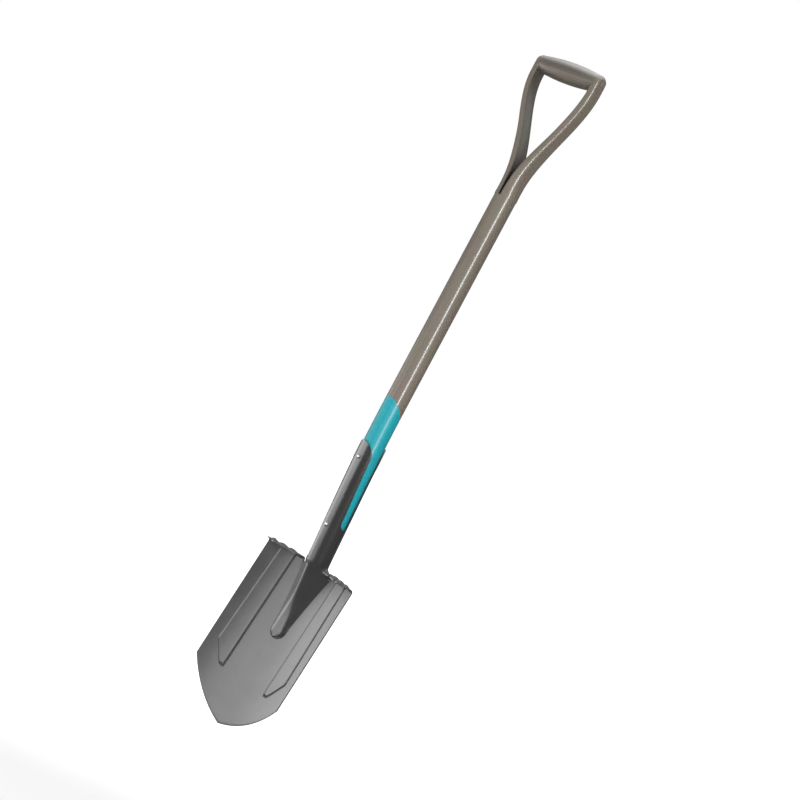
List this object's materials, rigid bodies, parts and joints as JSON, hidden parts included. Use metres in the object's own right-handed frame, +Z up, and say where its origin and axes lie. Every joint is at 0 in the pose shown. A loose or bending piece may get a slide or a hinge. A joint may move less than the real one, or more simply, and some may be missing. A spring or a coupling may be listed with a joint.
{
  "type": "pointed spade",
  "caption": "Long-handled digging spade with a split wooden shaft, a turned cross grip, a riveted two-strap steel socket and a dished, pointed blade with folded treads.",
  "frame": {"origin": "underside of the middle of the grip, on the axis plane of the grip, where a peg or hook carries the hanging spade", "axes": "+Z up along the straight upper shaft, from the blade to the grip; -Y towards the blade's dished front; X along the grip"},
  "size_m": [0.2, 0.0618, 1.1688],
  "materials": {
    "stained_ash": "grey-brown stain under a satin varnish; the lower end, from inside the socket to above the straps, is painted turquoise",
    "stained_ash_grip": "grey-brown stain under a satin varnish",
    "painted_steel": "dark grey satin with a metallic sheen",
    "bright_steel": "bright rivet heads"
  },
  "bodies": {
    "root": {"shaft": "stained_ash", "grip": "stained_ash_grip", "grip_rod": "bright_steel", "throat_rivet": "bright_steel", "front_strap": "painted_steel", "back_strap": "painted_steel", "blade": "painted_steel", "socket_rivet_upper": "bright_steel", "socket_rivet_lower": "bright_steel"}
  },
  "joints": []
}
